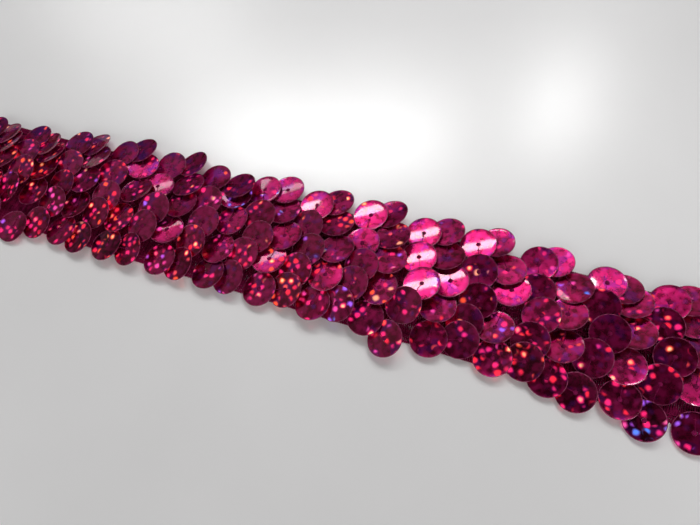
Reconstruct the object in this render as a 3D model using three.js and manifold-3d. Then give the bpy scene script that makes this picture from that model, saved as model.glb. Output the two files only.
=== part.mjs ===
// A cut length of five-row stretch sequin trim, lying flat with its sequins up.
// Millimetres, +X along the trim, +Y across it, +Z up; the origin is under the middle of the underside.
// Round sequins are strung on one thread like scales, each lying over the one strung after it.
// The string is laid to and fro across the trim in slanting passes of five sequins. Knitted elastic
// wales run the length of the trim under the sequins, carry the thread, and let the trim stretch.
import * as THREE from 'three';
import { mergeVertices } from 'three/addons/utils/BufferGeometryUtils.js';
import Module from 'manifold-3d';

// Sequins: thin film discs with a punched hole
const sequinDiameter = 6;
const sequinThickness = 0.12;
const sequinSides = 9;
const holeDiameter = 1.1;
const holeSides = 5;

// Zig-zag lay: one pitch holds a pass that runs up the trim's width and one that runs back down
const pitch = 9.6;
const passCount = 28;
const layHalfWidth = 10.1;

// Where each hole lies along its pitch, and from the trim's middle line to the widest hole,
// in the order the sequins are strung
const upAlongShares = [0.07, 0.18, 0.26, 0.1, 0.04];
const upAcrossShares = [-0.88, -0.44, -0.05, 0.38, 0.88];
const downAlongShares = [0.4, 0.57, 0.7, 0.66, 0.68];
const downAcrossShares = [1, 0.6, 0.14, -0.38, -0.9];
const rowCount = upAlongShares.length;

// How far a sequin strays from its place, and its rise over run from the rule
const strayAlong = 0.5;
const strayAcross = 0.45;
const straySlope = 0.06;

// Sequins that the photo shows well off their places, by their number along the string: how far they lie
// along the trim, as a share of the pitch, and across it, as a share of the lay's half width
const offPlaceShares = new Map([
  [4, [0, -0.18]],
  [5, [0, -0.34]],
  [6, [0, -0.1]],
  [14, [0.01, -0.13]],
  [15, [-0.03, -0.34]],
  [16, [0, -0.1]],
  [19, [-0.02, -0.16]],
  [24, [-0.03, -0.04]],
  [25, [-0.05, -0.08]],
  [36, [-0.01, 0.1]],
  [55, [0.14, -0.18]],
  [70, [0.06, 0.09]],
  [80, [-0.01, 0.1]],
  [89, [-0.1, 0.06]],
  [90, [-0.08, -0.2]],
  [91, [-0.04, -0.08]],
  [100, [0.07, 0.14]],
  [105, [-0.1, 0.04]],
  [107, [0.03, 0.14]],
  [110, [0.1, 0.09]],
  [115, [-0.09, -0.02]],
  [116, [0.1, -0.02]],
  [119, [-0.12, -0.01]],
  [120, [-0.06, -0.12]],
  [124, [0.12, -0.05]],
  [125, [0.03, -0.2]],
  [130, [-0.04, -0.22]],
  [131, [-0.02, -0.09]],
  [134, [0.1, -0.1]],
  [135, [0.05, -0.1]],
  [139, [0.05, -0.16]],
]);

// Sequins that the photo shows leaning their own way, by their number along the string: their rise over run
// along the trim and across it
const ownSlopes = new Map([
  [36, [0.04, -0.15]],
  [43, [0.05, -0.14]],
  [48, [0.08, -0.19]],
  [56, [0.11, -0.12]],
  [65, [0.15, -0.1]],
  [68, [0.16, -0.17]],
  [74, [0.12, -0.01]],
  [84, [0.16, -0.02]],
  [92, [0.2, -0.06]],
  [93, [0.17, -0.05]],
  [94, [0.18, -0.02]],
  [97, [0.24, -0.06]],
  [98, [0.18, -0.22]],
  [104, [0.2, -0.03]],
  [107, [0.24, -0.1]],
  [108, [0.24, -0.22]],
  [114, [0.2, 0.06]],
  [117, [0.28, -0.22]],
  [118, [0.34, -0.22]],
  [124, [0.13, -0.13]],
  [125, [0.18, -0.28]],
  [126, [0.26, -0.22]],
  [127, [0.28, -0.24]],
  [128, [0.2, -0.06]],
  [135, [0.26, -0.26]],
  [136, [0.06, -0.08]],
  [137, [0.06, -0.24]],
  [138, [0.2, -0.1]],
]);

// Rise over run of a resting sequin: away from the one strung before it, from pass to pass,
// and down to each edge of the trim
const strandSlope = 0.13;
const passSlope = 0.19;
const edgeSlope = 0.16;

// How much a sequin may lean away from that, each way, to lie lower
const leanSlopes = [-0.06, 0, 0.06];

// Clear heights: between sequins that lie over each other, over the table, and between seated pieces
const sequinGap = 0.1;
const tableGap = 0.1;
const seatGap = 0.1;

// Thread: it clears the sequin that it leaves by the drop and the next one by the lift, and meets it at
// the edge of its hole; the shares are of the hole's radius, measured from its middle
const threadWidth = 0.24;
const threadHeight = 0.2;
const threadLift = 0.05;
const threadDrop = 0.12;
const outShare = 0.8;
const inShare = 1.5;

// Elastic wales, flat underneath, with a knitted loop standing up to each crossing of the thread
const waleCount = 5;
const outerWaleShare = 0.85;
const waleWidth = 0.9;
const waleHeight = 0.5;
const loopWidth = 0.7;

// Tacks: a bar of stitches across the wales at each cut end
const tackWidth = 1.3;
const tackHeight = 0.5;
const tackOverhang = 0.6;
const tackClearance = 0.5;
const tackCurveSteps = 6;
const waleTail = 0.7;

const sequinRadius = sequinDiameter / 2;
const holeRadius = holeDiameter / 2;
const waleReach = outerWaleShare * layHalfWidth;
const waleSpacing = 2 * waleReach / (waleCount - 1);

// A repeatable value from -1 to 1 that looks random from one sequin to the next
const scatterIndexAngle = 12.9898;
const scatterKindAngle = 78.233;
const scatterRatio = 43758.5453;
function scatter(index, kind) {
  const value = Math.sin(index * scatterIndexAngle + kind * scatterKindAngle) * scatterRatio;
  return 2 * (value - Math.floor(value)) - 1;
}

function middleOf(values) {
  return (Math.min(...values) + Math.max(...values)) / 2;
}

// How far a sequin lies from its place along the trim and across it
function offPlace(index) {
  const shares = offPlaceShares.get(index);
  if (shares) return [shares[0] * pitch, shares[1] * layHalfWidth];
  return [strayAlong * scatter(index, 1), strayAcross * scatter(index, 2)];
}

// Sequins in the order they are strung, each with the place of its hole, centred on the origin
function stringSequins() {
  const strung = [];
  for (let pass = 0; pass < passCount; pass += 1) {
    const rising = pass % 2 === 0;
    const alongShares = rising ? upAlongShares : downAlongShares;
    const acrossShares = rising ? upAcrossShares : downAcrossShares;
    for (let row = 0; row < rowCount; row += 1) {
      const index = strung.length;
      const [offAlong, offAcross] = offPlace(index);
      const x = (Math.floor(pass / 2) + alongShares[row]) * pitch + offAlong;
      const y = acrossShares[row] * layHalfWidth + offAcross;
      strung.push({ index, pass, x, y, z: 0, spin: Math.PI * scatter(index, 5) });
    }
  }
  const middleX = middleOf(strung.map((one) => one.x));
  const middleY = middleOf(strung.map((one) => one.y));
  for (const one of strung) {
    one.x -= middleX;
    one.y -= middleY;
  }
  return strung;
}

// The lean that each sequin starts from: it rises away from the one before it, and from pass to pass
function setSlopes(strung) {
  for (const one of strung) {
    const from = strung[Math.max(one.index - 1, 0)];
    const to = one.index === 0 ? strung[1] : one;
    const run = Math.hypot(to.x - from.x, to.y - from.y);
    const alongStrand = strandSlope * (to.x - from.x) / run;
    const acrossStrand = strandSlope * (to.y - from.y) / run;
    const toEdge = -edgeSlope * one.y / layHalfWidth;
    const ruled = [
      alongStrand + passSlope + straySlope * scatter(one.index, 3),
      acrossStrand + toEdge + straySlope * scatter(one.index, 4),
    ];
    [one.slopeX, one.slopeY] = ownSlopes.get(one.index) ?? ruled;
  }
}

// Height of a sequin's underside, carried on flat past its rim
function heightAt(one, x, y) {
  return one.z + one.slopeX * (x - one.x) + one.slopeY * (y - one.y);
}

const rimRatio = 1.001;
function covers(one, x, y) {
  return Math.hypot(x - one.x, y - one.y) <= rimRatio * sequinRadius;
}

function rimPoints(one) {
  const points = [];
  const steps = 4 * sequinSides;
  for (let step = 0; step < steps; step += 1) {
    const angle = 2 * Math.PI * step / steps;
    points.push([one.x + sequinRadius * Math.cos(angle), one.y + sequinRadius * Math.sin(angle)]);
  }
  return points;
}

// Where the thread comes out under the upper of two sequins, and where it goes in over the lower one
function linkPlan(upper, lower) {
  const run = Math.hypot(lower.x - upper.x, lower.y - upper.y);
  const at = (distance) => [
    upper.x + (lower.x - upper.x) * distance / run,
    upper.y + (lower.y - upper.y) * distance / run,
  ];
  return { out: at(outShare * holeRadius), into: at(run - inShare * holeRadius), rim: at(sequinRadius) };
}

// The lowest that a sequin may reach: over the wales within their width, over the table past them
function floorAt(y) {
  const overWales = Math.abs(y) < waleReach + waleWidth / 2 + seatGap;
  return overWales ? waleHeight + seatGap : tableGap;
}

// Places under a sequin, each with the lowest that its underside may lie there
function supportsUnder(one, strung) {
  const clear = sequinThickness + sequinGap;
  const room = sequinThickness + threadLift + threadHeight + threadDrop;
  const ownRim = rimPoints(one);
  const supports = ownRim.map(([x, y]) => [x, y, floorAt(y)]);
  for (const below of strung.slice(one.index + 1)) {
    if (Math.hypot(below.x - one.x, below.y - one.y) >= sequinDiameter) continue;
    for (const [x, y] of ownRim.concat(rimPoints(below))) {
      if (covers(one, x, y) && covers(below, x, y)) supports.push([x, y, heightAt(below, x, y) + clear]);
    }
    if (below.index === one.index + 1) {
      const { out, rim } = linkPlan(one, below);
      for (const [x, y] of [out, rim]) {
        supports.push([x, y, heightAt(below, x, y) + room]);
      }
    }
  }
  return supports;
}

// Height of a sequin's hole when it rests on its supports at a lean
function restHeight(one, slopeX, slopeY, supports) {
  return Math.max(...supports.map(([x, y, low]) => low - slopeX * (x - one.x) - slopeY * (y - one.y)));
}

// Sequins are laid down from the last one back, each with the lean that lets it lie lowest
// on those already there
function settle(strung) {
  for (let index = strung.length - 1; index >= 0; index -= 1) {
    const one = strung[index];
    const supports = supportsUnder(one, strung);
    const leans = ownSlopes.has(index) ? [0] : leanSlopes;
    let lowest = { z: Infinity };
    for (const leanX of leans) {
      for (const leanY of leans) {
        const slopeX = one.slopeX + leanX;
        const slopeY = one.slopeY + leanY;
        const z = restHeight(one, slopeX, slopeY, supports);
        if (z < lowest.z) lowest = { z, slopeX, slopeY };
      }
    }
    Object.assign(one, lowest);
  }
}

// Middle line of the thread from under the hole of one sequin to over the hole of the next
function linkPoints(upper, lower) {
  const { out, into } = linkPlan(upper, lower);
  const top = sequinThickness + threadLift + threadHeight / 2;
  return [
    new THREE.Vector3(...out, heightAt(upper, ...out) - threadDrop - threadHeight / 2),
    new THREE.Vector3(...into, heightAt(lower, ...into) + top),
  ];
}

// A stand-in for the sequin that would come before or after a cut end of the string
function mirrored(one, neighbour) {
  return { ...one, x: 2 * one.x - neighbour.x, y: 2 * one.y - neighbour.y };
}

// The thread of one pass, from just past the hole of the sequin before it to the hole of its last one
function threadRoute(strung, pass) {
  const own = strung.filter((one) => one.pass === pass);
  const route = [];
  for (const one of own) {
    const before = strung[one.index - 1] ?? mirrored(one, strung[one.index + 1]);
    const [out, into] = linkPoints(before, one);
    if (one === own[0]) {
      const share = (seatGap + threadWidth / 2) / out.distanceTo(into);
      out.lerp(into, share);
    }
    route.push(out, into);
  }
  const last = own[own.length - 1];
  const next = strung[last.index + 1] ?? mirrored(last, strung[last.index - 1]);
  route.push(linkPoints(last, next)[0]);
  return route;
}

// A three-sided thread along a route, its keel down, closed at both ends
function threadGeometry(route) {
  const section = [
    [-threadWidth / 2, threadHeight / 2],
    [0, -threadHeight / 2],
    [threadWidth / 2, threadHeight / 2],
  ];
  const sides = section.length;
  const places = [];
  route.forEach((point, index) => {
    const back = route[Math.max(index - 1, 0)];
    const ahead = route[Math.min(index + 1, route.length - 1)];
    const heading = new THREE.Vector3(ahead.x - back.x, ahead.y - back.y, 0).normalize();
    for (const [aside, high] of section) {
      places.push(point.x - heading.y * aside, point.y + heading.x * aside, point.z + high);
    }
  });
  const faces = [];
  for (let ring = 0; ring < route.length - 1; ring += 1) {
    for (let side = 0; side < sides; side += 1) {
      const a = ring * sides + side;
      const b = ring * sides + (side + 1) % sides;
      faces.push(a, b, b + sides, a, b + sides, a + sides);
    }
  }
  const end = (route.length - 1) * sides;
  for (const corner of section.keys()) {
    faces.push(sides - 1 - corner);
  }
  for (const corner of section.keys()) {
    faces.push(end + corner);
  }
  const geometry = new THREE.BufferGeometry();
  geometry.setAttribute('position', new THREE.Float32BufferAttribute(places, 3));
  geometry.setIndex(faces);
  return geometry;
}

function polygon(radius, sides, turn, Form) {
  const outline = new Form();
  for (let side = 0; side < sides; side += 1) {
    const angle = turn + 2 * Math.PI * side / sides;
    const x = radius * Math.cos(angle);
    const y = radius * Math.sin(angle);
    if (side === 0) outline.moveTo(x, y);
    else outline.lineTo(x, y);
  }
  outline.closePath();
  return outline;
}

// One sequin where it rests: a punched disc, tilted
function sequinGeometry(one) {
  const disc = polygon(sequinRadius, sequinSides, one.spin, THREE.Shape);
  disc.holes.push(polygon(holeRadius, holeSides, one.spin, THREE.Path));
  const geometry = new THREE.ExtrudeGeometry(disc, { depth: sequinThickness, bevelEnabled: false });
  const normal = new THREE.Vector3(-one.slopeX, -one.slopeY, 1).normalize();
  const tilt = new THREE.Quaternion().setFromUnitVectors(new THREE.Vector3(0, 0, 1), normal);
  geometry.applyQuaternion(tilt);
  geometry.translate(one.x, one.y, one.z);
  return geometry;
}

// Where a thread route crosses a line that runs along the trim
function crossings(route, y) {
  const found = [];
  for (let index = 1; index < route.length; index += 1) {
    const from = route[index - 1];
    const to = route[index];
    if ((from.y - y) * (to.y - y) < 0) found.push(from.clone().lerp(to, (y - from.y) / (to.y - from.y)));
  }
  return found;
}

// Height under the lowest sequin over a patch of the trim
function headroom(x, y, halfLength, halfWidth) {
  let lowest = Infinity;
  for (const one of strung) {
    if (Math.hypot(one.x - x, one.y - y) > sequinRadius + halfLength + halfWidth) continue;
    for (const cornerX of [x - halfLength, x + halfLength]) {
      for (const cornerY of [y - halfWidth, y + halfWidth]) {
        lowest = Math.min(lowest, heightAt(one, cornerX, cornerY));
      }
    }
  }
  return lowest;
}

// One elastic wale: a flat cord whose loops stand up under the thread wherever there is room for them
function waleGeometry(y, routes, halfLength) {
  const side = new THREE.Shape();
  side.moveTo(-halfLength, 0);
  side.lineTo(halfLength, 0);
  side.lineTo(halfLength, waleHeight);
  const ties = routes.flatMap((route) => crossings(route, y)).sort((a, b) => b.x - a.x);
  let free = halfLength;
  for (const tie of ties) {
    const underSequins = headroom(tie.x, y, loopWidth / 2, waleWidth / 2);
    const loopTop = Math.min(tie.z - threadHeight / 2, underSequins) - seatGap;
    if (loopTop <= waleHeight + seatGap || tie.x + loopWidth / 2 >= free) continue;
    side.lineTo(tie.x + loopWidth / 2, waleHeight);
    side.lineTo(tie.x, loopTop);
    side.lineTo(tie.x - loopWidth / 2, waleHeight);
    free = tie.x - loopWidth / 2;
  }
  side.lineTo(-halfLength, waleHeight);
  const geometry = new THREE.ExtrudeGeometry(side, { depth: waleWidth, bevelEnabled: false });
  geometry.rotateX(Math.PI / 2);
  geometry.translate(0, y + waleWidth / 2, 0);
  return geometry;
}

// One tack: a bar with round ends, lying over the wales
function tackGeometry() {
  const halfLength = waleReach + waleWidth / 2 + tackOverhang - tackWidth / 2;
  const outline = new THREE.Shape();
  outline.absarc(0, halfLength, tackWidth / 2, 0, Math.PI, false);
  outline.absarc(0, -halfLength, tackWidth / 2, Math.PI, 2 * Math.PI, false);
  const bar = { depth: tackHeight, bevelEnabled: false, curveSegments: tackCurveSteps };
  return new THREE.ExtrudeGeometry(outline, bar);
}

const mergeTolerance = 1e-5;
const wasm = await Module();
wasm.setup();

function toSolid(geometry) {
  const bare = geometry.clone();
  bare.deleteAttribute('normal');
  bare.deleteAttribute('uv');
  const merged = mergeVertices(bare, mergeTolerance);
  return new wasm.Manifold(new wasm.Mesh({
    numProp: 3,
    vertProperties: new Float32Array(merged.getAttribute('position').array),
    triVerts: new Uint32Array(merged.getIndex().array),
  }));
}

function toGeometry(solid) {
  const mesh = solid.getMesh();
  const geometry = new THREE.BufferGeometry();
  geometry.setAttribute('position', new THREE.Float32BufferAttribute(mesh.vertProperties, 3));
  geometry.setIndex([...mesh.triVerts]);
  geometry.computeVertexNormals();
  return geometry;
}

const strung = stringSequins();
setSlopes(strung);
settle(strung);
const routes = [];
for (let pass = 0; pass < passCount; pass += 1) {
  routes.push(threadRoute(strung, pass));
}
const sequinReach = Math.max(...strung.map((one) => Math.abs(one.x))) + sequinRadius;
const tackMiddle = sequinReach + tackClearance + tackWidth / 2;
const waleHalfLength = tackMiddle + tackWidth / 2 + waleTail;

const filmMaterial = new THREE.MeshStandardMaterial({ color: 0xb01a62, roughness: 0.22, metalness: 0.85 });
const elasticMaterial = new THREE.MeshStandardMaterial({ color: 0x8e1c50, roughness: 0.85, metalness: 0 });
const tackMaterial = new THREE.MeshStandardMaterial({ color: 0xa0205c, roughness: 0.7, metalness: 0 });
const group = new THREE.Group();

function addMesh(name, geometry, material) {
  const mesh = new THREE.Mesh(geometry, material);
  mesh.name = name;
  group.add(mesh);
  return mesh;
}

for (let pass = 0; pass < passCount; pass += 1) {
  let solid = toSolid(threadGeometry(routes[pass]));
  for (const one of strung.filter((each) => each.pass === pass)) {
    solid = solid.add(toSolid(sequinGeometry(one)));
  }
  addMesh(`sequin_pass_${String(pass + 1).padStart(2, '0')}`, toGeometry(solid), filmMaterial);
}
for (let wale = 0; wale < waleCount; wale += 1) {
  const y = (wale - (waleCount - 1) / 2) * waleSpacing;
  addMesh(`elastic_wale_${wale + 1}`, waleGeometry(y, routes, waleHalfLength), elasticMaterial);
}
for (const [name, side] of [['end_tack_left', -1], ['end_tack_right', 1]]) {
  const tack = addMesh(name, tackGeometry(), tackMaterial);
  tack.position.set(side * tackMiddle, 0, waleHeight + seatGap);
}

export default group;
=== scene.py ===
import math
from types import SimpleNamespace

import bpy
import numpy as np
from mathutils import Matrix, Vector


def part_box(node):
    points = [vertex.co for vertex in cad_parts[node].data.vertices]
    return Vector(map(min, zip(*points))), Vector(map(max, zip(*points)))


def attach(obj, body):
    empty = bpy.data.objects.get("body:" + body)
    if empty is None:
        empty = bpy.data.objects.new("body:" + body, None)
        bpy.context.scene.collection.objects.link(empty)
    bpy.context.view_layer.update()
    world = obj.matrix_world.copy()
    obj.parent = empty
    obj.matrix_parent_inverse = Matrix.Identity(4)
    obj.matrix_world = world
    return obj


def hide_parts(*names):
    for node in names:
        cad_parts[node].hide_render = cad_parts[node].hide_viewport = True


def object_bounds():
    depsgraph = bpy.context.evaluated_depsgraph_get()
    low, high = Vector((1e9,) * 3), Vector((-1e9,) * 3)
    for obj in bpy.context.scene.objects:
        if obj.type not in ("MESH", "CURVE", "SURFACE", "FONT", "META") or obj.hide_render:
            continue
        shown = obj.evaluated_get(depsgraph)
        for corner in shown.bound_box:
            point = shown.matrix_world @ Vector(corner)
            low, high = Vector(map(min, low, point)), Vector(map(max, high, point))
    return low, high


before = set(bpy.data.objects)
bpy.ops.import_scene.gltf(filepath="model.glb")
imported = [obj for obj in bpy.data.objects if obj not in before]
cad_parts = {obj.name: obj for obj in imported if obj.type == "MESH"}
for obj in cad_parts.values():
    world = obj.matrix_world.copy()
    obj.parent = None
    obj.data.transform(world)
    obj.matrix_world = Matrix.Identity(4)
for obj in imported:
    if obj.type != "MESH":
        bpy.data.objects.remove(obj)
cad_low, cad_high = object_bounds()

MM = 0.001

# The lay of the trim, as the solids have it
SEQUIN_DIAMETER = 6 * MM
SEQUIN_THICKNESS = 0.12 * MM
HOLE_DIAMETER = 1.1 * MM
PITCH = 9.6 * MM
PASS_COUNT = 28
LAY_HALF_WIDTH = 10.1 * MM
UP_ALONG_SHARES = (0.07, 0.18, 0.26, 0.1, 0.04)
UP_ACROSS_SHARES = (-0.88, -0.44, -0.05, 0.38, 0.88)
DOWN_ALONG_SHARES = (0.4, 0.57, 0.7, 0.66, 0.68)
DOWN_ACROSS_SHARES = (1, 0.6, 0.14, -0.38, -0.9)
STRAY_ALONG = 0.5 * MM
STRAY_ACROSS = 0.45 * MM
STRAY_SLOPE = 0.06
OFF_PLACE_SHARES = {
    4: (0, -0.18),
    5: (0, -0.34),
    6: (0, -0.1),
    14: (0.01, -0.13),
    15: (-0.03, -0.34),
    16: (0, -0.1),
    19: (-0.02, -0.16),
    24: (-0.03, -0.04),
    25: (-0.05, -0.08),
    36: (-0.01, 0.1),
    55: (0.14, -0.18),
    70: (0.06, 0.09),
    80: (-0.01, 0.1),
    89: (-0.1, 0.06),
    90: (-0.08, -0.2),
    91: (-0.04, -0.08),
    100: (0.07, 0.14),
    105: (-0.1, 0.04),
    107: (0.03, 0.14),
    110: (0.1, 0.09),
    115: (-0.09, -0.02),
    116: (0.1, -0.02),
    119: (-0.12, -0.01),
    120: (-0.06, -0.12),
    124: (0.12, -0.05),
    125: (0.03, -0.2),
    130: (-0.04, -0.22),
    131: (-0.02, -0.09),
    134: (0.1, -0.1),
    135: (0.05, -0.1),
    139: (0.05, -0.16),
}
OWN_SLOPES = {
    36: (0.04, -0.15),
    43: (0.05, -0.14),
    48: (0.08, -0.19),
    56: (0.11, -0.12),
    65: (0.15, -0.1),
    68: (0.16, -0.17),
    74: (0.12, -0.01),
    84: (0.16, -0.02),
    92: (0.2, -0.06),
    93: (0.17, -0.05),
    94: (0.18, -0.02),
    97: (0.24, -0.06),
    98: (0.18, -0.22),
    104: (0.2, -0.03),
    107: (0.24, -0.1),
    108: (0.24, -0.22),
    114: (0.2, 0.06),
    117: (0.28, -0.22),
    118: (0.34, -0.22),
    124: (0.13, -0.13),
    125: (0.18, -0.28),
    126: (0.26, -0.22),
    127: (0.28, -0.24),
    128: (0.2, -0.06),
    135: (0.26, -0.26),
    136: (0.06, -0.08),
    137: (0.06, -0.24),
    138: (0.2, -0.1),
}
STRAND_SLOPE = 0.13
PASS_SLOPE = 0.19
EDGE_SLOPE = 0.16
LEAN_SLOPES = (-0.06, 0, 0.06)
SEQUIN_GAP = 0.1 * MM
TABLE_GAP = 0.1 * MM
SEAT_GAP = 0.1 * MM
THREAD_HEIGHT = 0.2 * MM
THREAD_LIFT = 0.05 * MM
THREAD_DROP = 0.12 * MM
WALE_COUNT = 5
OUTER_WALE_SHARE = 0.85
WALE_WIDTH = 0.9 * MM
WALE_HEIGHT = 0.5 * MM

# Film sequins: punched round, a little bent, the punched edge turned up
FILM_THICKNESS = 0.08 * MM
FILM_GAP = 0.03 * MM
CURL_SAGITTA = 0.3 * MM
DISH_SAGITTA = 0.1 * MM
CUP_SAGITTA = 0.08 * MM
LIP_WIDTH = 0.1 * MM
LIP_HEIGHT = 0.015 * MM
PUNCH_RADIUS = 0.38 * MM
RING_SHARES = (0, 0.14, 0.34, 0.56, 0.78, 1)
SEQUIN_SEGMENTS = 52

SEQUIN_RADIUS = SEQUIN_DIAMETER / 2
HOLE_RADIUS = HOLE_DIAMETER / 2
WALE_REACH = OUTER_WALE_SHARE * LAY_HALF_WIDTH
WALE_SPACING = 2 * WALE_REACH / (WALE_COUNT - 1)

# How the sequins are tried against each other, and where the thread leaves one hole and enters the next
RIM_STEPS = 36
RIM_RATIO = 1.001
OUT_SHARE = 0.8
INTO_SHARE = 1.5
BEND_SHARES = (0.2, 0.4, 0.6, 0.8, 1)
FILM_SHARES = (0.4, 0.7, 0.9, 1)

# A repeatable value from -1 to 1 that looks random from one sequin to the next
SCATTER_TURN = 12.9898
SCATTER_STEP = 78.233
SCATTER_SPREAD = 43758.5453

# Each thing that varies takes its own number there
ALONG_KIND = 1
ACROSS_KIND = 2
SLOPE_X_KIND = 3
SLOPE_Y_KIND = 4
SPIN_KIND = 5
CURL_KIND = 6
CURL_TURN_KIND = 7
DISH_KIND = 8
TONE_KIND = 9
GLINT_LEVEL_KIND = 10
LAP_KIND = 11
HUE_KIND = 12
DARK_TONE_KIND = 13


def scatter(index, kind):
    value = math.sin(index * SCATTER_TURN + kind * SCATTER_STEP) * SCATTER_SPREAD
    return 2 * (value - math.floor(value)) - 1


def off_place(index):
    """How far a sequin lies from its place along the trim and across it."""
    if index in OFF_PLACE_SHARES:
        along_share, across_share = OFF_PLACE_SHARES[index]
        return along_share * PITCH, across_share * LAY_HALF_WIDTH
    return STRAY_ALONG * scatter(index, ALONG_KIND), STRAY_ACROSS * scatter(index, ACROSS_KIND)


def string_sequins():
    """Sequins in the order they are strung, each with the place of its hole."""
    strung = []
    for number in range(PASS_COUNT):
        rising = number % 2 == 0
        along_shares = UP_ALONG_SHARES if rising else DOWN_ALONG_SHARES
        across_shares = UP_ACROSS_SHARES if rising else DOWN_ACROSS_SHARES
        for along_share, across_share in zip(along_shares, across_shares):
            index = len(strung)
            off_along, off_across = off_place(index)
            x = (number // 2 + along_share) * PITCH + off_along
            y = across_share * LAY_HALF_WIDTH + off_across
            strung.append(SimpleNamespace(index=index, number=number, x=x, y=y, z=0))
    middle_x = (min(one.x for one in strung) + max(one.x for one in strung)) / 2
    middle_y = (min(one.y for one in strung) + max(one.y for one in strung)) / 2
    for one in strung:
        one.x -= middle_x
        one.y -= middle_y
    return strung


def set_slopes(strung):
    """The lean that each sequin starts from: it rises from the one before it, and from pass to pass."""
    for one in strung:
        before = strung[max(one.index - 1, 0)]
        after = strung[1] if one.index == 0 else one
        run = math.hypot(after.x - before.x, after.y - before.y)
        along_strand = STRAND_SLOPE * (after.x - before.x) / run
        across_strand = STRAND_SLOPE * (after.y - before.y) / run
        to_edge = -EDGE_SLOPE * one.y / LAY_HALF_WIDTH
        ruled = (
            along_strand + PASS_SLOPE + STRAY_SLOPE * scatter(one.index, SLOPE_X_KIND),
            across_strand + to_edge + STRAY_SLOPE * scatter(one.index, SLOPE_Y_KIND),
        )
        one.slope_x, one.slope_y = OWN_SLOPES.get(one.index, ruled)
        one.spin = math.pi * scatter(one.index, SPIN_KIND)
        one.curl = one.curl_turn = one.dish = 0


def bend_at(one, across_x, across_y):
    """How far the bent film stands over its own flat plane, at a distance from its hole."""
    fold = across_x * np.cos(one.curl_turn) + across_y * np.sin(one.curl_turn)
    squared = across_x ** 2 + across_y ** 2
    return (one.curl * fold ** 2 + one.dish * squared) / SEQUIN_RADIUS ** 2


def height_at(one, x, y):
    """Height of a sequin's underside, carried on past its rim."""
    away_x, away_y = x - one.x, y - one.y
    plane = one.z + one.slope_x * away_x + one.slope_y * away_y
    return plane + bend_at(one, away_x, away_y)


def ring_points(one, shares=(1,)):
    angles = 2 * math.pi * np.arange(RIM_STEPS) / RIM_STEPS
    radii = SEQUIN_RADIUS * np.array(shares)
    x = one.x + np.outer(radii, np.cos(angles)).ravel()
    y = one.y + np.outer(radii, np.sin(angles)).ravel()
    return x, y


def covers(one, x, y):
    return np.hypot(x - one.x, y - one.y) <= RIM_RATIO * SEQUIN_RADIUS


def floor_at(y):
    over_wales = np.abs(y) < WALE_REACH + WALE_WIDTH / 2 + SEAT_GAP
    return np.where(over_wales, WALE_HEIGHT + SEAT_GAP, TABLE_GAP)


def point_between(upper, lower, distance):
    """The place at a distance from the hole of one sequin, on the way to the next one's."""
    run = math.hypot(lower.x - upper.x, lower.y - upper.y)
    x = upper.x + (lower.x - upper.x) * distance / run
    y = upper.y + (lower.y - upper.y) * distance / run
    return x, y


def overlap(one, other, shares=(1,)):
    """Points of the rings of two sequins that both of them cover."""
    own_x, own_y = ring_points(one, shares)
    other_x, other_y = ring_points(other, shares)
    x, y = np.append(own_x, other_x), np.append(own_y, other_y)
    both = covers(one, x, y) & covers(other, x, y)
    return x[both], y[both]


def near(one, other):
    return math.hypot(other.x - one.x, other.y - one.y) < SEQUIN_DIAMETER


def supports_under(one, strung):
    """Places under a sequin, each with the lowest that its underside may lie there."""
    x, y = ring_points(one)
    supports = [(x, y, floor_at(y))]
    for below in strung[one.index + 1:]:
        if not near(one, below):
            continue
        x, y = overlap(one, below)
        supports.append((x, y, height_at(below, x, y) + SEQUIN_THICKNESS + SEQUIN_GAP))
        if below.index == one.index + 1:
            room = SEQUIN_THICKNESS + THREAD_LIFT + THREAD_HEIGHT + THREAD_DROP
            for distance in (OUT_SHARE * HOLE_RADIUS, SEQUIN_RADIUS):
                x, y = point_between(one, below, distance)
                supports.append(([x], [y], [height_at(below, x, y) + room]))
    return [np.concatenate(values) for values in zip(*supports)]


def settle(strung):
    """Lays the sequins down from the last one back, each with the lean that lets it lie lowest."""
    for one in reversed(strung):
        x, y, low = supports_under(one, strung)
        leans = (0,) if one.index in OWN_SLOPES else LEAN_SLOPES
        rests = []
        for lean_x in leans:
            for lean_y in leans:
                slope_x, slope_y = one.slope_x + lean_x, one.slope_y + lean_y
                z = np.max(low - slope_x * (x - one.x) - slope_y * (y - one.y))
                rests.append((z, slope_x, slope_y))
        one.z, one.slope_x, one.slope_y = min(rests, key=lambda rest: rest[0])


def bend_fits(one, neighbours):
    """Whether the bent film of a sequin clears the floor and every sequin near it."""
    x, y = ring_points(one, FILM_SHARES)
    if np.min(height_at(one, x, y) - floor_at(y)) < FILM_GAP - TABLE_GAP:
        return False
    for other in neighbours:
        upper, lower = sorted((one, other), key=lambda each: each.index)
        x, y = overlap(one, other, FILM_SHARES)
        room = height_at(upper, x, y) - height_at(lower, x, y)
        if len(x) and np.min(room) < FILM_THICKNESS + FILM_GAP:
            return False
    return True


def bend_film(strung):
    """Bends each sequin as far as its neighbours leave it room, a little at a time in turn."""
    nearby = {}
    wanted = {}
    for one in strung:
        nearby[one.index] = [other for other in strung if other is not one and near(one, other)]
        curl = CURL_SAGITTA * scatter(one.index, CURL_KIND)
        dish = DISH_SAGITTA * scatter(one.index, DISH_KIND)
        wanted[one.index] = (curl, dish)
        if one.index in OWN_SLOPES:
            wanted[one.index] = (0, CUP_SAGITTA)
        one.curl_turn = math.pi * scatter(one.index, CURL_TURN_KIND)
    for share in BEND_SHARES:
        for one in strung:
            before = (one.curl, one.dish)
            one.curl, one.dish = (share * value for value in wanted[one.index])
            if not bend_fits(one, nearby[one.index]):
                one.curl, one.dish = before


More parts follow.
